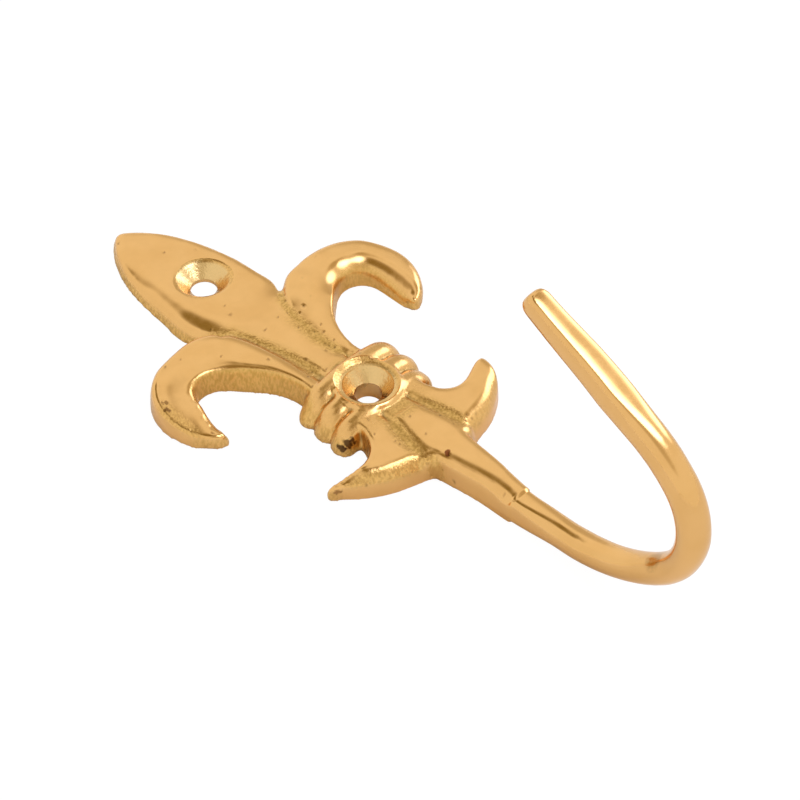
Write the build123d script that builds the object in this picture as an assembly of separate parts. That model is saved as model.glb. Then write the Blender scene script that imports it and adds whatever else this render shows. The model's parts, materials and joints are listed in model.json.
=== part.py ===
from build123d import *
from math import acos, cos, radians, sin, sqrt, tan
import os

os.makedirs("parts", exist_ok=True)

# Frame: flat back on Z = 0, +Z out of the wall, +Y to the petal's tip, origin midway
# between the screw holes. The outlines are drawn from the band's hole and moved at the
# end. Sizes in mm and degrees.

# Screw holes, for No. 6 countersunk wood screws
hole_d = 3.7
csk_d = 7.5
csk_angle = 90.0
hole_pitch = 31.4
petal_land = 0.6
band_land = 2.5

# Central petal
petal_tip_y = 48.3
petal_half_w = 7.45
petal_widest_y = 27.5
petal_root_half_w = 2.6
petal_root_y = 3.0
petal_tip_t = 1.5
petal_root_t = 3.9
petal_lean = 1.75
petal_draft = 8.0
petal_tip_r = 1.4
petal_edge_r = 0.5

# Side curls, each to its own outline: the right one stands a little higher
curl_left_reach = 21.8
curl_right_reach = 22.2
curl_t = 3.9
curl_draft = 4.0
curl_outer_r = 1.8
curl_inner_r = 0.5
curl_end_r = 0.8
curl_tip_r = 0.8
curl_tip_slope = 11.0
groove_drop = 0.6

# Band of ribs, from the petal's side down, and the boss that joins them round the hole
rib_pitch = 3.2
rib_top_y = 3.6
rib_left = (8.1, 8.8, 9.1)
rib_right = (9.2, 9.2, 8.4)
rib_crown_z = (4.9, 4.7, 4.5)
rib_shoulder_in = 3.2
rib_shoulder_drop = 0.6
rib_bulge = 0.9
rib_edge_r = 1.2
band_turn = 1.2
boss_d = 8.4
boss_z = 4.5

# Lower leaves and stem
leaf_t = 3.9
leaf_draft = 3.0
leaf_lower_r = 1.6
leaf_upper_r = 0.4
leaf_right_tip_r = 0.6
leaf_left_tip_r = 0.35
leaf_tip_slope = 24.0
leaf_slope_x = 10.8
groove_w = 1.3
groove_depth = 0.55
stem_top_y = -6.0
stem_top_half_w = 2.2
stem_end_y = -26.8
stem_end_half_w = 1.75
stem_top_t = 4.2
stem_end_t = 3.65
stem_draft = 5.0
stem_edge_r = 0.6

# Hook rod: width and height where it leaves the stem, after the bends and at its end
rod_start = (3.5, 3.6)
rod_bend = (3.9, 3.6)
rod_leg_start = (4.2, 4.1)
rod_leg_mid = (3.9, 3.7)
rod_end = (3.4, 3.1)
rod_straight_y = -33.8
bend_r = (23.5, 11.5, 20.0)
bend_angle = (42.0, 88.0, 20.0)
rod_leg = 21.0
rod_back_r = 0.8
rod_front_r = 1.2
rod_round = 0.48

# A rounded edge is made of flats between these angles, to keep the mesh light
round_steps = (0, 40, 70, 90)
rod_steps = (0, 30, 60, 90)


def set_in(z, height, draft, r):
    """How far a wall stands in at a level, with a round of r below the top."""
    lean = tan(radians(draft))
    rise = z - height + r
    if rise <= 0:
        return lean * z
    return lean * (height - r) + r - sqrt(max(r * r - rise * rise, 0))


def inset(runs, depths):
    """The loop of points of the runs, each point moved inward by its own depth."""
    loop = [Vector(*p) for run in runs for p in run[:-1]]
    after = [d for row in depths for d in row[:-1]]
    before = [d for i, row in enumerate(depths) for d in (depths[i - 1][-1], *row[1:-1])]
    moved = []
    for i, here in enumerate(loop):
        u = (here - loop[i - 1]).normalized()
        v = (loop[(i + 1) % len(loop)] - here).normalized()
        c = u.dot(v)
        k = m = after[i] / (1 + c)
        if before[i] != after[i]:
            k = (before[i] - c * after[i]) / (1 - c * c)
            m = (after[i] - c * before[i]) / (1 - c * c)
        moved.append(here + Vector(-u.Y, u.X) * k + Vector(-v.Y, v.X) * m)
    return moved


def level(runs, depths, tips, lift):
    """A face through the runs, set in by their depths, with round corners where a run starts."""
    loop = inset(runs, depths)
    starts = [sum(len(run) - 1 for run in runs[:i]) for i in range(len(runs))]
    corners = []
    for start, row, tip in zip(starts, depths, tips):
        here = loop[start]
        if not tip:
            corners.append((here, here, here))
            continue
        u = (here - loop[start - 1]).normalized()
        v = (loop[(start + 1) % len(loop)] - here).normalized()
        r = max(tip - row[0], 0.3 * tip)
        reach = r * tan(acos(u.dot(v)) / 2)
        middle = here - u * reach + Vector(-u.Y, u.X) * r
        corners.append((here - u * reach, middle + (here - middle).normalized() * r, here + v * reach))
    edges = []
    for i, run in enumerate(runs):
        inner = [loop[starts[i] + k] for k in range(1, len(run) - 1)]
        ends = corners[(i + 1) % len(runs)]
        points = [lift(p) for p in (corners[i][2], *inner, ends[0])]
        edges.append(Spline(*points) if inner else Line(*points))
        if tips[(i + 1) % len(runs)]:
            edges.append(ThreePointArc(*[lift(p) for p in ends]))
    return make_face(edges)


def cast(runs, rounds, tips, height, draft, origin=(0, 0), fall=(0, 0)):
    """A drafted block on runs of points, falling away along a direction.

    Each run has the round of its upper edge at its two ends, and the round of its first corner.
    """
    big = max(r for pair in rounds for r in pair)
    sections = []
    for z in (0, *[height - big * (1 - sin(radians(a))) for a in round_steps]):

        def lift(p):
            drop = (p.X - origin[0]) * fall[0] + (p.Y - origin[1]) * fall[1]
            return (p.X, p.Y, z - drop * z / height)

        depths = []
        for run, (r, end_r) in zip(runs, rounds):
            share = [k / (len(run) - 1) for k in range(len(run))]
            depths.append([set_in(z, height, draft, r + (end_r - r) * t) for t in share])
        sections.append(level(runs, depths, tips, lift))
    return loft(sections, ruled=True)


def mirrored(points):
    return [(-x, y) for x, y in reversed(points)]


# Petal, symmetric about its own line, which leans a little
petal_side = [
    (petal_root_half_w, petal_root_y),
    (2.9, 11.0),
    (3.7, 16.0),
    (5.0, 20.0),
    (7.0, 23.3),
    (petal_half_w, petal_widest_y),
    (6.95, 33.8),
    (5.4, 40.4),
    (3.4, 44.4),
    (0, petal_tip_y),
]
petal_runs = [petal_side, mirrored(petal_side), [(-petal_root_half_w, petal_root_y), petal_side[0]]]
petal_fall = (petal_root_t - petal_tip_t) / (petal_tip_y - petal_root_y)
petal = cast(
    petal_runs,
    [(petal_edge_r, petal_edge_r)] * 3,
    (0, petal_tip_r, 0),
    petal_root_t,
    petal_draft,
    (0, petal_root_y),
    (0, petal_fall),
)
petal = Rot(0, 0, petal_lean) * petal


def curl(reach, inner, outer):
    """A curl on the right-hand side, drawn out to its reach, its top falling away to the tip."""
    stretch = reach / max(x for x, y in outer)
    inner = [(x * stretch, y) for x, y in inner]
    outer = [(x * stretch, y) for x, y in outer]
    runs = [inner, outer, [outer[-1], inner[0]]]
    rounds = ((curl_inner_r, curl_inner_r), (curl_end_r, curl_outer_r), (curl_inner_r, curl_inner_r))
    tips = (0, curl_tip_r, 0)
    hinge = (13.9, 17.1)
    away = (0.518, -0.856)
    slope = tan(radians(curl_tip_slope))
    zone = Plane(origin=(*hinge, 0), x_dir=(-away[1], away[0], 0), z_dir=(0, 0, 1))
    zone = zone * Pos(-4.5, 0, 0) * Box(40, 40, 20, align=(Align.MIN, Align.MAX, Align.CENTER))
    flat = cast(runs, rounds, tips, curl_t, curl_draft)
    tilted = cast(runs, rounds, tips, curl_t, curl_draft, hinge, (slope * away[0], slope * away[1]))
    return (flat - zone) + (tilted & zone)


curl_right = curl(
    curl_right_reach,
    [
        (4.6, 4.0),
        (4.8, 8.5),
        (6.8, 12.8),
        (9.6, 15.6),
        (13.4, 17.6),
        (15.8, 16.6),
        (16.7, 13.6),
        (16.9, 7.2),
    ],
    [
        (16.9, 7.2),
        (20.2, 9.4),
        (22.2, 14.4),
        (21.4, 18.2),
        (18.6, 22.0),
        (13.2, 24.0),
        (8.0, 23.1),
        (4.4, 20.5),
        (2.6, 16.0),
        (1.9, 11.0),
        (1.7, 4.0),
    ],
)
curl_left = mirror(
    curl(
        curl_left_reach,
        [
            (6.0, 4.0),
            (6.4, 8.5),
            (8.4, 12.9),
            (10.8, 15.3),
            (13.6, 16.6),
            (15.7, 16.0),
            (16.5, 13.0),
            (16.9, 7.8),
        ],
        [
            (16.9, 7.8),
            (20.2, 9.9),
            (21.8, 14.6),
            (21.1, 18.5),
            (18.4, 21.5),
            (12.5, 23.3),
            (8.2, 22.9),
            (5.6, 20.6),
            (4.1, 16.8),
            (3.1, 11.0),
            (2.8, 4.0),
        ],
    ),
    about=Plane.YZ,
)

# Web that closes the grooves between petal and curls, a little below the petal's top
web_side = [(petal_root_half_w, petal_root_y), (4.4, 8.0), (5.5, 14.0), (7.0, 22.0)]
web = extrude(make_face(Polyline(*web_side, *mirrored(web_side), close=True)), petal_root_t)
web_top = Plane(origin=(0, petal_root_y, petal_root_t - groove_drop), z_dir=(0, petal_fall, 1))
web = split(web, web_top, keep=Keep.BOTTOM)


def rib(left, right, crown):
    """One rib of the band, across the stem, with rounded rims."""
    half_w = rib_pitch / 2 + 0.05
    rims = []
    for a in round_steps:
        rims.append((half_w - rib_edge_r * (1 - sin(radians(a))), rib_edge_r * (1 - cos(radians(a)))))
    sections = []
    for y, d in [(-y, d) for y, d in reversed(rims)] + rims:
        top = crown - d
        low = top - rib_shoulder_drop
        flanks = []
        for end in (right - d, d - left):
            inward = -1 if end > 0 else 1
            shoulder = (end + inward * rib_shoulder_in, low)
            flanks.append(ThreePointArc((end, 0), (end + inward * rib_bulge, 0.63 * low), shoulder))
        arch = ThreePointArc(flanks[0] @ 1, (0, top), flanks[1] @ 1)
        face = make_face([flanks[0], arch, flanks[1], Line(flanks[1] @ 0, flanks[0] @ 0)])
        sections.append(Plane.XZ.offset(-y) * face)
    return loft(sections, ruled=True)


ribs = []
for i, (left, right, crown) in enumerate(zip(rib_left, rib_right, rib_crown_z)):
    ribs.append(Rot(0, 0, band_turn) * Pos(0, rib_top_y - i * rib_pitch, 0) * rib(left, right, crown))
boss = extrude(Circle(boss_d / 2), boss_z)

# Lower leaves and neck, left side given as if on the right
right_lower = [(3.0, -15.6), (5.5, -14.5), (7.8, -14.0), (10.4, -12.9), (13.3, -10.7), (14.9, -6.3)]
right_upper = [(14.9, -6.3), (12.3, -7.0), (10.6, -7.7), (8.4, -8.0), (6.8, -7.1), (5.9, -5.6), (5.6, -3.0)]
left_lower = [(3.0, -15.2), (5.6, -14.1), (8.3, -13.2), (11.3, -11.5), (13.4, -9.8), (16.3, -7.2)]
left_upper = [(16.3, -7.2), (12.1, -8.6), (10.6, -8.9), (8.5, -8.3), (6.9, -6.7), (6.1, -3.0)]
leaf_runs = [
    right_lower,
    right_upper,
    [right_upper[-1], mirrored(left_upper)[0]],
    mirrored(left_upper),
    mirrored(left_lower),
    [mirrored(left_lower)[-1], right_lower[0]],
]
leaf_even = (leaf_upper_r, leaf_upper_r)
leaf_rounds = (
    (leaf_lower_r, leaf_upper_r),
    leaf_even,
    leaf_even,
    leaf_even,
    (leaf_upper_r, leaf_lower_r),
    (leaf_lower_r, leaf_lower_r),
)
leaf_tips = (0, leaf_right_tip_r, 0, 0, leaf_left_tip_r, 0)
leaves = cast(leaf_runs, leaf_rounds, leaf_tips, leaf_t, leaf_draft)
leaf_low = Pos(-leaf_slope_x, 0, leaf_t) * Rot(0, -leaf_tip_slope, 0)
leaves -= leaf_low * Box(20, 60, 8, align=(Align.MAX, Align.CENTER, Align.MIN))

# Grooves that part the stem from the leaves
groove_path = Spline((2.2, -4.5, leaf_t), (2.9, -8.0, leaf_t), (3.7, -11.5, leaf_t), (3.9, -15.5, leaf_t))
groove_way = groove_path % 0
groove_plane = Plane(groove_path @ 0, x_dir=(-groove_way.Y, groove_way.X, 0), z_dir=groove_way)
groove_half = groove_w / 2
groove_vee = Polyline((-groove_half, 0), (0, -groove_depth), (groove_half, 0), (0, groove_w), close=True)
groove = sweep(groove_plane * make_face(groove_vee), groove_path)
leaves -= groove
leaves -= mirror(groove, about=Plane.YZ)

# Stem wedge
stem_side = [
    (stem_end_half_w, stem_end_y),
    (2.45, -20.0),
    (3.1, -15.0),
    (3.2, -12.0),
    (2.8, -9.0),
    (stem_top_half_w, stem_top_y),
]
stem_runs = [
    stem_side,
    [stem_side[-1], mirrored(stem_side)[0]],
    mirrored(stem_side),
    [mirrored(stem_side)[-1], stem_side[0]],
]
stem_fall = (stem_top_t - stem_end_t) / (stem_top_y - stem_end_y)
stem = cast(
    stem_runs,
    [(stem_edge_r, stem_edge_r)] * 4,
    (0, 0, 0, 0),
    stem_top_t,
    stem_draft,
    (0, stem_top_y),
    (0, -stem_fall),
)

# Hook rod: a straight that grows out of the stem, three bends, the return leg
side_plane = Plane(origin=(0, 0, 0), x_dir=(0, -1, 0), z_dir=(-1, 0, 0))
rod_z = rod_start[1] / 2
bend_1 = JernArc((-rod_straight_y, rod_z), (1, 0), bend_r[0], bend_angle[0])
bend_2 = JernArc(bend_1 @ 1, bend_1 % 1, bend_r[1], bend_angle[1])
bend_3 = JernArc(bend_2 @ 1, bend_2 % 1, bend_r[2], bend_angle[2])
bends = side_plane * Wire([bend_1, bend_2, bend_3])


def rod_section(at, along, size, back_r, front_r):
    """A rod section at a point of the centreline, square to it, its corners rounded in flats."""
    points = []
    for turn, r in ((0, front_r), (90, front_r), (180, back_r), (270, back_r)):
        side = 1 if turn in (0, 270) else -1
        face = 1 if turn < 180 else -1
        for a in rod_steps:
            x = side * (size[0] / 2 - r) + r * cos(radians(turn + a))
            y = face * (size[1] / 2 - r) + r * sin(radians(turn + a))
            points.append((x, y))
    return Plane(origin=at, x_dir=(1, 0, 0), z_dir=-along) * make_face(Polyline(*points, close=True))


def round_section(at, along, size):
    r = rod_round * min(size)
    return rod_section(at, along, size, r, r)


first = Vector(0, -1, 0)
back = bends % 1
leg_at = bends @ 1
bend_in = round_section((0, rod_straight_y, rod_z), first, rod_bend)
bend_out = round_section(leg_at, back, rod_leg_start)
straight = loft(
    [
        rod_section((0, stem_end_y + 4, rod_z), first, rod_start, rod_back_r, 0.9),
        rod_section((0, stem_end_y - 1, rod_z), first, rod_start, rod_back_r, 0.9),
        bend_in,
    ],
    ruled=True,
)
curve = sweep([bend_in, bend_out], bends, multisection=True)
near_end = leg_at + back * (rod_leg - 1.0)
leg = loft(
    [
        bend_out,
        rod_section(leg_at + back * 6, back, rod_leg_mid, rod_back_r, rod_front_r),
        rod_section(near_end, back, rod_end, rod_back_r, rod_front_r),
        rod_section(near_end + back * 0.7, back, (rod_end[0] - 0.5, rod_end[1] - 0.5), 0.7, 1.0),
        rod_section(near_end + back, back, (rod_end[0] - 1.5, rod_end[1] - 1.5), 0.4, 0.6),
    ],
    ruled=True,
)
rod = straight + curve + leg


def screw_hole(y, land):
    """A cutter for a countersunk hole, revolved about its axis."""
    r = hole_d / 2
    top_r = csk_d / 2
    rise = (top_r - r) / tan(radians(csk_angle / 2))
    profile = Polyline((0, -1), (r, -1), (r, land), (top_r, land + rise), (top_r, 9), (0, 9), close=True)
    return Pos(0, y, 0) * revolve(Plane.XZ * make_face(profile), Axis.Z)


hook = petal + [web, curl_left, curl_right, *ribs, boss, leaves, stem, rod]
hook -= screw_hole(0, band_land)
hook -= screw_hole(hole_pitch, petal_land)
hook = split(hook, Plane.XY, keep=Keep.TOP)
hook = Pos(0, -hole_pitch / 2, 0) * hook
export_step(hook, "parts/tieback_hook.step")
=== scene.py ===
import json
import math

import bmesh
import bpy
import numpy as np
from mathutils import Matrix, Vector, noise


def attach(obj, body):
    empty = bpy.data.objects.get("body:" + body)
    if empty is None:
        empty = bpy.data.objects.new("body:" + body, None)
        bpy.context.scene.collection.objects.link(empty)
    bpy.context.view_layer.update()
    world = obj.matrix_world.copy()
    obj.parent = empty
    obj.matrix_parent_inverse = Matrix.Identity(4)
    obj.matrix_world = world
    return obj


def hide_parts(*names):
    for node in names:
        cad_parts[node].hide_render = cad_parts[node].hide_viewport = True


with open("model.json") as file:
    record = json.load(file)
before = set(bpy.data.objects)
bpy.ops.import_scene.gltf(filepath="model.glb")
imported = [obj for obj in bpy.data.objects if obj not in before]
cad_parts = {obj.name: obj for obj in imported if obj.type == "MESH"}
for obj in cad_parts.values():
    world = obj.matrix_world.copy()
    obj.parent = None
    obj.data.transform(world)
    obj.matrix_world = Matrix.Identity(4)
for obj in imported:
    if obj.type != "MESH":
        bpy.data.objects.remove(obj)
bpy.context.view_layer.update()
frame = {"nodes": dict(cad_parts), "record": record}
scene = bpy.context.scene
NODE = "tieback_hook"

# Sizes in mm; the mesh is brought to metres at the end
VOXEL = 0.25
HOLE_R = 1.85
SCREWS = next(m for m in frame["record"]["mounts"] if m["name"] == "screws")
HALF_PITCH = SCREWS["dims"]["spacing_y_mm"] / 2
# Screw holes: y, plug radius, plug top, cutter profile as (radius, level)
PETAL_HOLE = (
    HALF_PITCH, 3.85, 2.28,
    ((HOLE_R, -2), (HOLE_R, 0.6), (3.4, 2.15), (3.7, 2.38), (4.1, 2.50), (4.65, 2.60),
     (5.2, 9)),
)
BAND_HOLE = (
    -HALF_PITCH, 4.5, 4.4,
    ((HOLE_R, -2), (HOLE_R, 2.5), (3.3, 3.95), (3.42, 4.2), (3.95, 4.3), (4.1, 4.42),
     (4.6, 4.8), (5.2, 9)),
)
HOLES = (PETAL_HOLE, BAND_HOLE)
# From the band's hole, as x and y or y alone
STEM_END = -26.8
CURL_GAP = (12.4, 11.0)  # middle of the gap inside the right curl, mirrored for the left one
LEFT_BEND = (-17.5, 17.5)  # where the left curl's top begins to fall
RIGHT_ROOT = (6.3, -0.5)  # where the right curl leaves the petal, from the origin
WAIST_IN, WAIST_DOWN = 0.09, 0.14  # how the rod stands in behind the stem: share of x, mm
LEG_FRONT = (-0.48, 0.877)  # y and z of the return leg's front
GROWTH = 0.11  # given back after the smoothing, which draws the shape in
# Where the casting departs from the drawn outline: place, reach of the change, shift
NUDGES = (
    ((-17.2, -5.2, 3.0), 4.0, (-1.20, -0.20, 0)),  # left curl, inside of its horn
    ((-18.4, -7.7, 0.5), 3.0, (0.1, -0.50, 0)),  # left curl, tip
    ((-8.5, -2.5, 0.0), 5.0, (-0.35, -0.35, 0)),  # left curl, inside of its limb
    ((-8.1, 11.3, 0.0), 6.0, (-0.40, -0.05, 0)),  # petal, left above the notch
    ((5.2, 11.5, 2.0), 4.0, (-0.28, -0.10, 0)),  # petal, right above the notch
    ((21.2, -1.0, 3.3), 7.0, (0.28, 0.05, 0.05)),  # right curl, outside
    ((16.0, -8.6, 2.0), 2.5, (-0.35, -0.35, 0)),  # right curl, tip
    ((8.0, 6.0, 2.5), 3.0, (-0.10, 0.40, 0.1)),  # notch between petal and right curl
    ((-8.2, -12.2, 0.5), 2.2, (-0.45, -0.05, 0)),  # band, end of the first rib
    ((-7.4, -21.4, 1.0), 2.0, (-0.20, -0.35, 0)),  # neck, left
    ((2.1, -37.8, 3.8), 7.0, (0.30, 0, 0.05)),  # stem, right
    ((-2.2, -42.5, 0.2), 8.0, (-0.35, 0, -0.1)),  # stem and rod, left below
    ((-15.2, -23.8, 1.0), 1.8, (-0.35, 0.1, 0)),  # left leaf, tip
    ((-1.6, -44.5, 38.8), 12.0, (-0.45, 0, 0)),  # return leg, left
)
PETAL_FALL = 0.053  # slope of the petal's top
# Relief of the surface, as height and size of each layer
GRAIN = ((0.050, 0.9), (0.040, 0.5))  # walls as cast
WAVE = ((0.030, 5.0), (0.014, 2.2))  # polished tops
SHARP_EDGE = 42  # degrees
PIT_SIZES = (0.55, 1.35)  # smallest and largest, as shares of the pits' radius
BORE_REACH = 3.9  # how far from its axis a countersink counts as bore


def evaluated(obj):
    """The object's mesh with its modifiers applied."""
    graph = bpy.context.evaluated_depsgraph_get()
    return bpy.data.meshes.new_from_object(obj.evaluated_get(graph))


def revolved(bm, centre_y, profile, steps, tilt=0.0):
    """A closed surface of revolution about a vertical axis, added to bm."""
    rings = []
    for r, z in profile:
        ring = []
        for i in range(steps):
            a = 2 * math.pi * i / steps
            dy = r * math.sin(a)
            fall = tilt * dy if z > 1 else 0.0
            ring.append(bm.verts.new((r * math.cos(a), centre_y + dy, z - fall)))
        rings.append(ring)
    for low, high in zip(rings, rings[1:]):
        for i in range(steps):
            j = (i + 1) % steps
            bm.faces.new((low[i], low[j], high[j], high[i]))
    bm.faces.new(list(reversed(rings[0])))
    bm.faces.new(rings[-1])


def cad_copy():
    """The CAD node's mesh in mm, closed, with plugs in the screw holes."""
    node = frame["nodes"][NODE]
    bm = bmesh.new()
    bm.from_mesh(node.data)
    bm.transform(Matrix.Scale(1000, 4) @ node.matrix_world)
    bmesh.ops.remove_doubles(bm, verts=bm.verts, dist=1e-3)
    for y, plug_r, top, _ in HOLES:
        tilt = PETAL_FALL if y > 0 else 0.0
        revolved(bm, y, ((plug_r, 0.0), (plug_r, top)), 48, tilt)
    mesh = bpy.data.meshes.new("plugged")
    bm.to_mesh(mesh)
    bm.free()
    return mesh


def remeshed(mesh):
    obj = bpy.data.objects.new("plugged", mesh)
    scene.collection.objects.link(obj)
    mod = obj.modifiers.new("even mesh", "REMESH")
    mod.mode = "VOXEL"
    mod.voxel_size = VOXEL
    out = evaluated(obj)
    bpy.data.objects.remove(obj)
    return out


class Surface:
    """Vertices of a mesh as an array, with averaging over neighbours."""

    def __init__(self, mesh):
        self.mesh = mesh
        n = len(mesh.vertices)
        self.p = np.empty(n * 3)
        mesh.vertices.foreach_get("co", self.p)
        self.p = self.p.reshape(n, 3)
        e = np.empty(len(mesh.edges) * 2, dtype=np.int64)
        mesh.edges.foreach_get("vertices", e)
        self.e = e.reshape(-1, 2)
        self.degree = np.maximum(np.bincount(self.e.ravel(), minlength=n), 1)

    def mean(self, values):
        """Each vertex's mean over its neighbours, for one or more columns."""
        columns = values.reshape(len(self.p), -1)
        a, b = self.e[:, 0], self.e[:, 1]
        out = np.empty_like(columns)
        for k in range(columns.shape[1]):
            c = columns[:, k]
            total = np.bincount(a, c[b], len(c)) + np.bincount(b, c[a], len(c))
            out[:, k] = total / self.degree
        return out.reshape(values.shape)

    def blur(self, values, steps):
        for _ in range(steps):
            values = 0.5 * values + 0.5 * self.mean(values)
        return values

    def write(self):
        self.mesh.vertices.foreach_set("co", self.p.ravel())
        self.mesh.update()

    def normals(self):
        self.write()
        n = np.empty(self.p.size)
        self.mesh.vertex_normals.foreach_get("vector", n)
        return n.reshape(-1, 3)


def smooth01(x, a, b):
    t = np.clip((x - a) / (b - a), 0, 1)
    return t * t * (3 - 2 * t)


def noise_at(points, size, seed):
    shift = Vector((seed * 17.3, seed * 5.1, seed * 9.7))
    return np.array([noise.noise(Vector(q) / size + shift) for q in points])


def relief(points, layers, seed):
    """Layers of noise, one seed after the other."""
    return sum(
        height * noise_at(points, size, seed + k) for k, (height, size) in enumerate(layers)
    )


def soften(s, back, weight, steps):
    """Draw the points towards their neighbours, leaving the flat back flat."""
    for _ in range(steps):
        move = 0.6 * weight[:, None] * (s.mean(s.p) - s.p)
        move[back, 2] = 0
        s.p = s.p + move


def hollowness(s):
    """How far each point lies below the mean of its surroundings, in mm."""
    n = s.normals()
    return ((s.blur(s.p, 60) - s.p) * n).sum(1)


def even_along_y(s, back, weight, steps):
    """Draw the points towards their neighbours before and behind, keeping the section."""
    a, b = s.e.T
    way = np.abs(s.p[b] - s.p[a])
    kept = way[:, 1] > 0.7 * np.linalg.norm(way, axis=1)
    a, b = a[kept], b[kept]
    count = np.bincount(a, minlength=len(s.p)) + np.bincount(b, minlength=len(s.p))
    share = 0.6 * weight * (count > 1)
    for _ in range(steps):
        for k in (0, 2):
            c = s.p[:, k]
            total = np.bincount(a, c[b], len(c)) + np.bincount(b, c[a], len(c))
            move = share * (total / np.maximum(count, 1) - c)
            if k == 2:
                move[back] = 0
            s.p[:, k] = c + move


def evened(values, passes):
    """A row of values, each drawn towards its neighbours."""
    for _ in range(passes):
        ends = [values[0], *values, values[-1]]
        values = [(a + 2 * b + c) / 4 for a, b, c in zip(ends, ends[1:], ends[2:])]
    return values


def roll_edge(s, region, along, across, rows, width, drop, fade, past=1.6):
    """Let a top fall away towards its edge, as the polishing wheel leaves it.

    across grows inwards from the edge, along runs beside it. past is how far
    beyond the edge the wall still follows.
    """
    z = s.p[:, 2]
    top = (s.normals()[:, 2] > 0.90) & (z > 1.2) & region
    step = rows[1] - rows[0]
    kept, limit = [], []
    for row in rows:
        here = top & (np.abs(along - row) < 0.6 * step)
        if here.any():
            kept.append(row)
            limit.append(across[here].min())
    edge = np.interp(along, kept, evened(limit, 8))
    reach = np.clip((edge + width - across) / width, 0, 1.25) * (across > edge - past) * region
    start = smooth01(along, rows[0], rows[0] + fade[0])
    end = smooth01(-along, -rows[-1], fade[1] - rows[-1])
    s.p[:, 2] = z - drop * reach**2 * (start * end) * np.clip(z / 2, 0, 1)


def filed_leg(s):
    """The return leg's front, filed to a flat that leans a little to the left."""
    x, y, z = s.p.T
    front = LEG_FRONT[0] * y + LEG_FRONT[1] * z
    along = LEG_FRONT[1] * y - LEG_FRONT[0] * z
    leg = z > 24
    rows = np.arange(along[leg].min(), along[leg].max(), 0.5)
    crest = [front[leg & (np.abs(along - row) < 0.5)].max() for row in rows]
    right = x + 1.2
    flat = np.interp(along, rows, evened(crest, 6)) - 0.27 + 0.09 * right - 0.045 * right**2
    cut = 0.85 * np.maximum(front - flat, 0) * smooth01(z, 28, 33)
    s.p[:, 1] -= cut * LEG_FRONT[0]
    s.p[:, 2] -= cut * LEG_FRONT[1]


def about_gap(x, y, side):
    """Angle in degrees and distance from the middle of the gap inside a curl."""
    dx, dy = side * x - CURL_GAP[0], y - CURL_GAP[1]
    return np.degrees(np.arctan2(dy, dx)), np.hypot(dx, dy)


def polished_edges(s):
    """The edges that the wheel has rolled over."""
    x, y = s.p[:, 0].copy(), s.p[:, 1] + HALF_PITCH
    # Petal, left: broader and flatter towards the notch
    wide = 2.4 + 0.9 * smooth01(-y, -31, -22)
    fall = 0.64 - 0.18 * smooth01(-y, -26.0, -20.5)
    petal = (y > 19.5) & (x < 2) & (x > -7.0 - 3.0 * smooth01(y, 21.5, 23.0))
    roll_edge(s, petal, y, x, np.arange(19.8, 43.0, 0.5), wide, fall, (1.0, 9))
    # Stem, left
    stem = (y < -14) & (y > -30) & (x < 1)
    roll_edge(s, stem, y, x, np.arange(-26.7, -14.5, 0.5), 1.5, 0.32, (0.1, 2))
    # Leaves, below
    leaf = (y > -17.5) & (y < -6)
    rows = np.arange(3.8, 14.6, 0.5)
    for side in (1, -1):
        roll_edge(s, leaf & (side * x > 3), side * x, y, rows, 1.7, 0.55, (1, 3))
    # Curls, inside: the right one is rolled far over
    for side, end, width, drop in ((1, 132.0, 2.3, 1.0), (-1, 160.0, 0.8, 0.12)):
        turn, far = about_gap(x, y, side)
        curl = (side * x > 4) & (y > 2) & (far < 9)
        roll_edge(s, curl, turn, far, np.arange(-35.0, end, 4.0), width, drop, (25, 45), 6.0)
    # Left curl, outside: it stands up crisper than drawn, so there the top is raised
    turn, far = about_gap(x, y, -1)
    rim = (x < -9) & (y > 3)
    roll_edge(s, rim, turn, -far, np.arange(-5.0, 80.0, 4.0), 1.6, -0.20, (20, 15))


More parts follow.
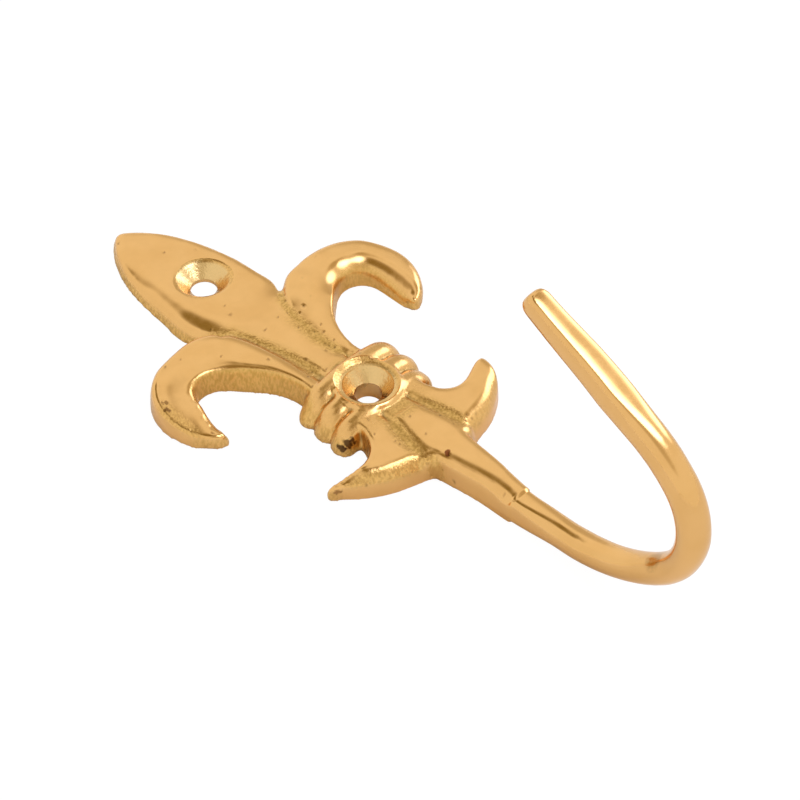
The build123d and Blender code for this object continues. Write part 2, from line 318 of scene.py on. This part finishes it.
def rough_mask(s, n, groove):
    """How far each point is still as cast, from 0 on the polished tops to 1."""
    x, z = s.p[:, 0], s.p[:, 2]
    y = s.p[:, 1] + HALF_PITCH  # from the band's hole
    nz = n[:, 2]
    left, across = x < 0, np.abs(x)
    steep = smooth01(-nz, -0.62, -0.27)
    to_gap = np.stack([np.sign(x) * CURL_GAP[0] - x, CURL_GAP[1] - y], 1)
    far = np.hypot(*to_gap.T)
    facing = (to_gap * n[:, :2]).sum(1) / np.maximum(far, 0.1)
    inside = smooth01(-nz, -0.86, -0.6) * smooth01(facing, 0.1, 0.5) * smooth01(-far, -10.5, -9.5)
    masks = [
        # Inside of the curls, the right one smoother
        (0.3 + 0.7 * left) * inside,
        # Foot of the petal's wall
        steep * smooth01(-z, -1.7, -0.9) * smooth01(y, 21.0, 23.0),
        # Grooves
        0.9 * groove,
        # Walls of the neck
        steep * smooth01(y, -10.5, -9.0) * smooth01(-y, 3.8, 4.8) * smooth01(-across, -11, -9),
        # Lower bevels of the leaves
        (0.35 + 0.3 * left) * smooth01(-nz, -0.95, -0.85) * smooth01(nz, 0.2, 0.4)
        * smooth01(-n[:, 1], 0.1, 0.4) * smooth01(y, -16.0, -15.0) * smooth01(-y, 9.0, 10.0),
        # Top of the neck
        0.7 * smooth01(nz, 0.7, 0.9) * smooth01(y, -8.5, -6.5) * smooth01(-y, 4.2, 4.8)
        * smooth01(-across, -4.2, -3.0),
        # Ends of the ribs
        0.7 * smooth01(-np.abs(y), -6.0, -5.0) * smooth01(across, 5.0, 6.5)
        * smooth01(-z, -3.3, -1.8),
        # Feet of the walls at the curls' tips and the leaves' tips
        0.6 * steep * smooth01(-y, -12.0, -10.0) * smooth01(across, 13.5, 15.0)
        * smooth01(-z, -2.4, -1.2) * smooth01(y, -17.5, -15.5),
        # Rim of the left curl
        0.55 * smooth01(-np.abs(y - 13.5), -4.5, -2.5) * smooth01(-x, 19.2, 20.4)
        * smooth01(nz, 0.2, 0.5),
    ]
    return np.clip(s.blur(np.max(masks, axis=0), 2), 0, 1), s.blur(inside, 2)


def dressed():
    """The casting: edges rounded by hand, walls as cast, tops polished."""
    mesh = remeshed(cad_copy())
    s = Surface(mesh)
    back = s.p[:, 2] < 0.06
    s.p[back, 2] = 0
    x, y, z = s.p.T  # as drawn, before anything moves
    y = y + HALF_PITCH
    band = smooth01(-np.abs(y), -7.0, -6.2) * smooth01(-np.abs(x), -12, -11)
    band = band * smooth01(z, 1.0, 2.0)
    # Edges in general, foot of the stem, left bend, grooves and right root
    soften(s, back, 1 - 0.9 * band, 5)
    foot = smooth01(-z, -2.6, -1.8) * smooth01(-np.abs(y - STEM_END - 1), -11.0, -7.0)
    even_along_y(s, back, foot, 120)
    bend = smooth01(-np.hypot(x - LEFT_BEND[0], y - LEFT_BEND[1]), -9.0, -6.0)
    soften(s, back, bend * smooth01(s.normals()[:, 2], 0.90, 0.97), 140)
    cavity = hollowness(s)
    groove = smooth01(cavity, 0.03, 0.10) * smooth01(y, -17.5, -16) * (1 - band)
    soften(s, back, np.clip(2 * s.blur(groove, 8), 0, 1), 40)
    root = smooth01(-np.hypot(x - RIGHT_ROOT[0], s.p[:, 1] - RIGHT_ROOT[1]), -10.0, -7.0)
    soften(s, back, root * smooth01(s.normals()[:, 2], 0.75, 0.9), 200)
    # Hand work
    polished_edges(s)
    soften(s, back, 1 - 0.9 * band, 2)
    filed_leg(s)
    y = s.p[:, 1] + HALF_PITCH
    waist = smooth01(-y, -STEM_END - 0.05, -STEM_END + 0.15)
    waist = waist * smooth01(y, STEM_END - 10, STEM_END - 0.3)
    s.p[:, 0] *= 1 - WAIST_IN * waist * smooth01(s.p[:, 2], 0.5, 1.8)
    s.p[:, 2] -= WAIST_DOWN * waist * smooth01(s.p[:, 2], 1.5, 3.0)
    for place, reach, shift in NUDGES:
        share = smooth01(-np.linalg.norm(s.p - place, axis=1), -reach, 0)
        s.p = s.p + share[:, None] * shift
    s.p = s.p + GROWTH * s.normals()
    s.p[back, 2] = 0
    s.p[:, 2] = np.maximum(s.p[:, 2], 0)
    # Rough and polished places, grooves and pits
    n = s.normals()
    cavity = hollowness(s)
    fine = (x > 2) & (s.p[:, 1] > -10)  # the groove beside the right curl is narrow
    grooves = np.where(fine, 2.0 * s.blur(groove, 6), 4.0 * s.blur(groove, 36))
    rough, inner = rough_mask(s, n, s.blur(np.clip(grooves, 0, 1), 4))
    outer = band * smooth01(np.hypot(s.p[:, 0], s.p[:, 1] + HALF_PITCH), 4.4, 5.0)
    rough = np.maximum(rough, outer * np.maximum(0.15, smooth01(cavity, 0.04, 0.14)))
    pits = np.clip(0.04 + 2.0 * s.blur(groove, 90), 0, 1)
    pits = pits * smooth01(s.p[:, 1], -46, -38) * (1 - 0.8 * rough)
    rough[back] = 0.5
    pits[back] = 0
    grain = relief(s.p, GRAIN, 1) * smooth01(s.p[:, 2], 0.1, 0.9)
    wave = relief(s.p, WAVE, 3)
    move = rough * grain + (1 - rough) * wave
    move[back] = 0
    s.p = s.p + n * move[:, None]
    s.p[:, 2] = np.maximum(s.p[:, 2], 0)
    s.write()
    layers = {
        "rough": rough,
        "cavity": np.clip(cavity, -1, 1),
        "pits": pits,
        "inner": inner,
        "satin": np.maximum(inner, 0.5 * outer),
    }
    for name, values in layers.items():
        layer = mesh.attributes.new(name, "FLOAT", "POINT")
        layer.data.foreach_set("value", values.astype(np.float32))
    return mesh


def maths_in(tree):
    """A function that adds a maths node to the tree and returns its output."""

    def maths(op, a, b):
        node = tree.nodes.new("ShaderNodeMath")
        node.operation = op
        for socket, v in zip(node.inputs, (a, b)):
            if isinstance(v, (int, float)):
                socket.default_value = v
            else:
                tree.links.new(v, socket)
        return node.outputs[0]

    return maths


def pit_tree():
    """Casting pits: points scattered by the attribute pits, each a dent in the surface."""
    tree = bpy.data.node_groups.new("casting pits", "GeometryNodeTree")
    face = tree.interface
    face.new_socket("Geometry", in_out="INPUT", socket_type="NodeSocketGeometry")
    for name, value in (("Density", 0.80), ("Radius", 0.22), ("Depth", 0.10)):
        face.new_socket(name, in_out="INPUT", socket_type="NodeSocketFloat").default_value = value
    face.new_socket("Seed", in_out="INPUT", socket_type="NodeSocketInt").default_value = 7
    face.new_socket("Geometry", in_out="OUTPUT", socket_type="NodeSocketGeometry")
    nodes, links = tree.nodes, tree.links
    maths = maths_in(tree)

    def add(kind, **settings):
        named = kind.startswith(("Shader", "Function"))
        node = nodes.new(kind if named else "GeometryNode" + kind)
        for key, value in settings.items():
            setattr(node, key, value)
        return node

    source = nodes.new("NodeGroupInput")
    end = nodes.new("NodeGroupOutput")
    share = add("InputNamedAttribute", data_type="FLOAT")
    share.inputs["Name"].default_value = "pits"
    scatter = add("DistributePointsOnFaces")
    links.new(source.outputs["Geometry"], scatter.inputs["Mesh"])
    density = maths("MULTIPLY", share.outputs["Attribute"], source.outputs["Density"])
    links.new(density, scatter.inputs["Density"])
    links.new(source.outputs["Seed"], scatter.inputs["Seed"])
    size = add("FunctionNodeRandomValue", data_type="FLOAT")
    for socket, value in zip(size.inputs[2:4], PIT_SIZES):
        socket.default_value = value
    nearest = add("SampleNearest", domain="POINT")
    links.new(scatter.outputs["Points"], nearest.inputs["Geometry"])
    pick = add("SampleIndex", data_type="FLOAT", domain="POINT")
    links.new(scatter.outputs["Points"], pick.inputs["Geometry"])
    links.new(size.outputs[1], pick.inputs["Value"])
    links.new(nearest.outputs["Index"], pick.inputs["Index"])
    away = add("Proximity", target_element="POINTS")
    links.new(scatter.outputs["Points"], away.inputs["Geometry"])
    reach = maths("MULTIPLY", pick.outputs["Value"], source.outputs["Radius"])
    hollow = add("ShaderNodeMapRange", interpolation_type="SMOOTHSTEP")
    links.new(maths("DIVIDE", away.outputs["Distance"], reach), hollow.inputs["Value"])
    hollow.inputs["From Min"].default_value = 0.25
    hollow.inputs["From Max"].default_value = 1.0
    hollow.inputs["To Min"].default_value = 1.0
    hollow.inputs["To Max"].default_value = 0.0
    sink = add("ShaderNodeVectorMath", operation="SCALE")
    links.new(add("InputNormal").outputs[0], sink.inputs[0])
    inwards = maths("MULTIPLY", source.outputs["Depth"], -1.0)
    depth = maths("MULTIPLY", hollow.outputs["Result"], inwards)
    links.new(depth, sink.inputs["Scale"])
    store = add("StoreNamedAttribute", data_type="FLOAT", domain="POINT")
    links.new(source.outputs["Geometry"], store.inputs["Geometry"])
    store.inputs["Name"].default_value = "pit"
    links.new(hollow.outputs["Result"], store.inputs["Value"])
    push = add("SetPosition")
    links.new(store.outputs[0], push.inputs["Geometry"])
    links.new(sink.outputs[0], push.inputs["Offset"])
    real = add("RealizeInstances")
    links.new(push.outputs[0], real.inputs[0])
    dress = add("SetMaterial")
    dress.inputs["Material"].default_value = BRASS
    links.new(real.outputs[0], dress.inputs["Geometry"])
    links.new(dress.outputs[0], end.inputs[0])
    return tree


def pitted(mesh):
    obj = bpy.data.objects.new("pitted", mesh)
    scene.collection.objects.link(obj)
    mod = obj.modifiers.new("pits", "NODES")
    mod.node_group = pit_tree()
    out = evaluated(obj)
    obj.modifiers.clear()
    bpy.data.objects.remove(obj)
    return out


def drilled(mesh):
    """The screw holes and countersinks, cut crisp."""
    obj = bpy.data.objects.new("casting", mesh)
    scene.collection.objects.link(obj)
    bm = bmesh.new()
    for y, _, _, profile in HOLES:
        revolved(bm, y, profile, 128, PETAL_FALL if y > 0 else 0.0)
    tool = bpy.data.meshes.new("drill")
    bm.to_mesh(tool)
    bm.free()
    drill = bpy.data.objects.new("drill", tool)
    scene.collection.objects.link(drill)
    mod = obj.modifiers.new("holes", "BOOLEAN")
    mod.operation = "DIFFERENCE"
    mod.solver = "EXACT"
    mod.object = drill
    out = evaluated(obj)
    bpy.data.objects.remove(drill)
    bpy.data.objects.remove(obj)
    return out


# Colours of the brass
POLISHED = ((0.845, 0.490, 0.176), (0.815, 0.465, 0.160))  # two that drift into each other
AS_CAST = ((0.54, 0.31, 0.075), (0.82, 0.50, 0.150))  # low and high places of the grain
CURL_WALL_LIT = ((0.68, 0.40, 0.105), (0.80, 0.48, 0.145))  # the same grain in a lighter tone inside the curls: painted light against the shade there
# Darker, duller colour for the hollows, mixed in by the cavity attribute: painted shade
GROOVE_SHADE = (0.45, 0.30, 0.12)
BORE = (0.82, 0.56, 0.24)
TARNISH = (0.24, 0.12, 0.035)
PIT = (0.20, 0.09, 0.025)
# Stains seen on the object, and a patch of painted shade in the rod's bend: place in mm, size in
# mm, colour
STAINS_AND_SHADE = (
    # Dark streak left of the neck
    ((-8.60, -19.35, 1.40), 0.75, (0.06, 0.025, 0.010)),
    ((-7.97, -19.90, 2.08), 0.80, (0.06, 0.025, 0.010)),
    ((-7.30, -20.05, 2.35), 0.65, (0.06, 0.025, 0.010)),
    # Reddish pit on the stem, left leaf's tip, stem's wall
    ((-1.61, -31.36, 3.94), 0.55, (0.20, 0.045, 0.012)),
    ((-14.39, -24.49, 1.77), 0.60, (0.34, 0.16, 0.050)),
    ((-3.07, -30.77, 1.56), 1.40, (0.64, 0.35, 0.100)),
    # Two specks on the left curl
    ((-20.53, 0.50, 3.20), 0.55, (0.24, 0.11, 0.033)),
    ((-20.10, 1.40, 3.20), 0.40, (0.32, 0.16, 0.048)),
    # Bend of the rod: painted shade, not a stain
    ((-0.80, -64.40, 9.50), 1.80, (0.58, 0.32, 0.095)),
)
RAGGED = 0.00022  # how far the rim of each stain or painted shade patch wanders, in metres


def brass():
    mat = bpy.data.materials.new("brass")
    mat.use_nodes = True
    tree = mat.node_tree
    nodes, links = tree.nodes, tree.links
    shader = nodes["Principled BSDF"]
    shader.inputs["Metallic"].default_value = 1.0
    coords = nodes.new("ShaderNodeTexCoord").outputs["Object"]
    maths = maths_in(tree)

    def attribute(name):
        node = nodes.new("ShaderNodeAttribute")
        node.attribute_name = name
        return node.outputs["Fac"]

    def texture(scale, detail, vector=coords):
        node = nodes.new("ShaderNodeTexNoise")
        node.inputs["Scale"].default_value = scale
        node.inputs["Detail"].default_value = detail
        links.new(vector, node.inputs["Vector"])
        return node.outputs["Fac"]

    def ranged(value, a, b, c=0.0, d=1.0):
        node = nodes.new("ShaderNodeMapRange")
        node.interpolation_type = "SMOOTHSTEP"
        for name, v in (("From Min", a), ("From Max", b), ("To Min", c), ("To Max", d)):
            node.inputs[name].default_value = v
        links.new(value, node.inputs["Value"])
        return node.outputs["Result"]

    def mixed(factor, a, b):
        node = nodes.new("ShaderNodeMix")
        node.data_type = "RGBA"
        links.new(factor, node.inputs[0])
        for socket, v in ((node.inputs[6], a), (node.inputs[7], b)):
            if isinstance(v, tuple):
                socket.default_value = (*v, 1)
            else:
                links.new(v, socket)
        return node.outputs[2]

    rough = attribute("rough")
    pit = attribute("pit")
    hollow = ranged(attribute("cavity"), 0.03, 0.30)
    tall = nodes.new("ShaderNodeVectorMath")
    tall.operation = "MULTIPLY"
    tall.inputs[1].default_value = (1, 1, 0.4)
    links.new(coords, tall.inputs[0])
    grain = texture(3000, 3, tall.outputs[0])
    patch = texture(260, 3)
    colour = mixed(ranged(patch, 0.35, 0.7), *POLISHED)
    cast = mixed(ranged(grain, 0.34, 0.66), *AS_CAST)
    colour = mixed(rough, colour, cast)
    # Painted light: inside the curls the as-cast grain takes a lighter tone
    wall = mixed(ranged(grain, 0.34, 0.66), *CURL_WALL_LIT)
    colour = mixed(maths("MULTIPLY", attribute("inner"), 0.8), colour, wall)
    # Painted shade: the hollows drawn towards a darker, duller colour
    colour = mixed(maths("MULTIPLY", hollow, 0.7), colour, GROOVE_SHADE)
    colour = mixed(maths("MULTIPLY", attribute("bore"), 0.85), colour, BORE)
    tarnish = maths("MULTIPLY", hollow, ranged(texture(1100, 3), 0.50, 0.68, 0.0, 0.75))
    colour = mixed(maths("MULTIPLY", tarnish, rough), colour, TARNISH)
    colour = mixed(maths("MULTIPLY", pit, 0.7), colour, PIT)
    # Stains, and the painted shade in the rod's bend
    for place, size, tint in STAINS_AND_SHADE:
        near = nodes.new("ShaderNodeVectorMath")
        near.operation = "DISTANCE"
        near.inputs[1].default_value = [v / 1000 for v in place]
        links.new(coords, near.inputs[0])
        ragged = ranged(texture(1500, 2), 0.3, 0.7, -RAGGED, RAGGED)
        rim = maths("ADD", near.outputs["Value"], ragged)
        colour = mixed(ranged(rim, 0.0005 * size, 0.001 * size, 0.9, 0.0), colour, tint)
    links.new(colour, shader.inputs["Base Color"])
    shine = ranged(texture(700, 2), 0.3, 0.7, 0.13, 0.19)
    level = nodes.new("ShaderNodeMix")
    links.new(rough, level.inputs[0])
    links.new(shine, level.inputs[2])
    level.inputs[3].default_value = 0.32
    satin = maths("MULTIPLY", attribute("satin"), 0.14)
    links.new(maths("ADD", level.outputs[0], satin), shader.inputs["Roughness"])
    bump = nodes.new("ShaderNodeBump")
    bump.inputs["Distance"].default_value = 0.00012
    links.new(maths("MULTIPLY", rough, 0.8), bump.inputs["Strength"])
    links.new(grain, bump.inputs["Height"])
    links.new(bump.outputs[0], shader.inputs["Normal"])
    return mat


BRASS = brass()
mesh = drilled(pitted(dressed()))
points = Surface(mesh).p
bore = np.zeros(len(points), dtype=np.float32)
for hole_y, _, top, _ in HOLES:
    close = np.hypot(points[:, 0], points[:, 1] - hole_y) < BORE_REACH
    bore[close & (points[:, 2] < top - 0.05) & (points[:, 2] > 0.01)] = 1
mesh.attributes.new("bore", "FLOAT", "POINT").data.foreach_set("value", bore)
mesh.transform(Matrix.Scale(0.001, 4))
mesh.name = "tieback hook"
mesh.shade_smooth()
mesh.set_sharp_from_angle(angle=math.radians(SHARP_EDGE))
mesh.materials.clear()
mesh.materials.append(BRASS)
hook = bpy.data.objects.new("hook", mesh)
scene.collection.objects.link(hook)
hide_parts(NODE)
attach(hook, "root")

# Floor: white, and mostly its own light to the camera, so that only a faint contact shadow stays
FLOOR_Z = -0.00003  # clear of the back by a hair
FLOOR_HALF = 3
FLOOR_GLOW = 1.06
GLOW_SEEN = 0.90  # share of its own light in what the camera sees
floor_mesh = bpy.data.meshes.new("floor")
ends = ((-1, -1), (1, -1), (1, 1), (-1, 1))
corners = [(x * FLOOR_HALF, y * FLOOR_HALF, FLOOR_Z) for x, y in ends]
floor_mesh.from_pydata(corners, [], [(0, 1, 2, 3)])
floor = bpy.data.objects.new("floor", floor_mesh)
scene.collection.objects.link(floor)
paper = bpy.data.materials.new("paper")
paper.use_nodes = True
parts, joins = paper.node_tree.nodes, paper.node_tree.links
matt = parts["Principled BSDF"]
matt.inputs["Base Color"].default_value = (0.86, 0.85, 0.82, 1)
matt.inputs["Roughness"].default_value = 1.0
matt.inputs["Specular IOR Level"].default_value = 0.0
glow = parts.new("ShaderNodeEmission")
blend = parts.new("ShaderNodeMixShader")
seen = parts.new("ShaderNodeMath")
seen.operation = "MULTIPLY"
seen.inputs[1].default_value = GLOW_SEEN
joins.new(parts.new("ShaderNodeLightPath").outputs["Is Camera Ray"], seen.inputs[0])
joins.new(seen.outputs[0], blend.inputs[0])
joins.new(matt.outputs[0], blend.inputs[1])
joins.new(glow.outputs[0], blend.inputs[2])
joins.new(blend.outputs[0], parts["Material Output"].inputs["Surface"])
glow.inputs["Strength"].default_value = FLOOR_GLOW
floor_mesh.materials.append(paper)

# Studio: a white tent with two bright windows and some darker openings
world = bpy.data.worlds.new("studio")
scene.world = world
world.use_nodes = True
tree = world.node_tree
sky = tree.nodes["Background"]
where = tree.nodes.new("ShaderNodeTexCoord").outputs["Generated"]
BASE_LEVEL = 0.95
DARKEST = (0.05, 0.04, 0.02)
LIGHTS = (
    # direction, inner and outer half angle in degrees, change of red, green and blue
    ((0.25, -0.42, 0.87), 7, 18, (3.0, 3.4, 5.0)),  # key window, high on the right
    ((0.88, -0.08, 0.46), 9, 20, (2.0, 2.2, 3.2)),  # second window, far right
    ((0.50, 0.48, 0.72), 30, 60, (0.05, 0.05, 0.05)),  # glow that the flat tops mirror
    ((0.08, 0.48, 0.87), 7, 17, (-0.72, -0.78, -0.93)),  # far left opening
    ((0.52, -0.05, 0.85), 6, 17, (-0.42, -0.48, -0.62)),  # high opening on the right
    ((-0.13, -0.05, 0.98), 9, 26, (-0.66, -0.73, -0.88)),  # opening overhead
    ((-0.30, -0.62, 0.72), 8, 22, (-0.30, -0.34, -0.44)),  # opening behind the camera
    ((0.80, 0.48, 0.38), 10, 26, (-0.34, -0.37, -0.44)),  # low opening, far away
)
total = None
for way, inner, outer, change in LIGHTS:
    dot = tree.nodes.new("ShaderNodeVectorMath")
    dot.operation = "DOT_PRODUCT"
    dot.inputs[1].default_value = Vector(way).normalized()
    tree.links.new(where, dot.inputs[0])
    span = tree.nodes.new("ShaderNodeMapRange")
    span.interpolation_type = "SMOOTHSTEP"
    span.inputs["From Min"].default_value = math.cos(math.radians(outer))
    span.inputs["From Max"].default_value = math.cos(math.radians(inner))
    tree.links.new(dot.outputs["Value"], span.inputs["Value"])
    add = tree.nodes.new("ShaderNodeVectorMath")
    add.operation = "MULTIPLY_ADD"
    add.inputs[1].default_value = change
    tree.links.new(span.outputs["Result"], add.inputs[0])
    if total is None:
        add.inputs[2].default_value = (BASE_LEVEL,) * 3
    else:
        tree.links.new(total, add.inputs[2])
    total = add.outputs[0]
lowest = tree.nodes.new("ShaderNodeVectorMath")
lowest.operation = "MAXIMUM"
lowest.inputs[1].default_value = DARKEST
tree.links.new(total, lowest.inputs[0])
tree.links.new(lowest.outputs[0], sky.inputs["Color"])
sky.inputs["Strength"].default_value = 1.0

# Camera, from the photo's measured view
AZIMUTH, ELEVATION, AWAY = math.radians(-46.0), math.radians(46.0), 0.350
TARGET = Vector((0.00373, -0.01785, 0.0))
SENSOR, PICTURE, SCALE = 36.0, 800.0, 7.63  # widths in mm and pixels, pixels to a mm at the target
level = math.cos(ELEVATION)
behind = Vector((math.sin(AZIMUTH) * level, -math.cos(AZIMUTH) * level, math.sin(ELEVATION)))
right = Vector((math.cos(AZIMUTH), math.sin(AZIMUTH), 0.0))
up = behind.cross(right)
lens = bpy.data.cameras.new("camera")
lens.sensor_width = SENSOR
lens.lens = SENSOR * SCALE * (AWAY * 1000) / PICTURE
lens.clip_start = 0.01
camera = bpy.data.objects.new("camera", lens)
turned = Matrix((right, up, behind)).transposed().to_4x4()
camera.matrix_world = Matrix.Translation(TARGET + behind * AWAY) @ turned
scene.collection.objects.link(camera)
scene.camera = camera
scene.view_settings.view_transform = "Standard"
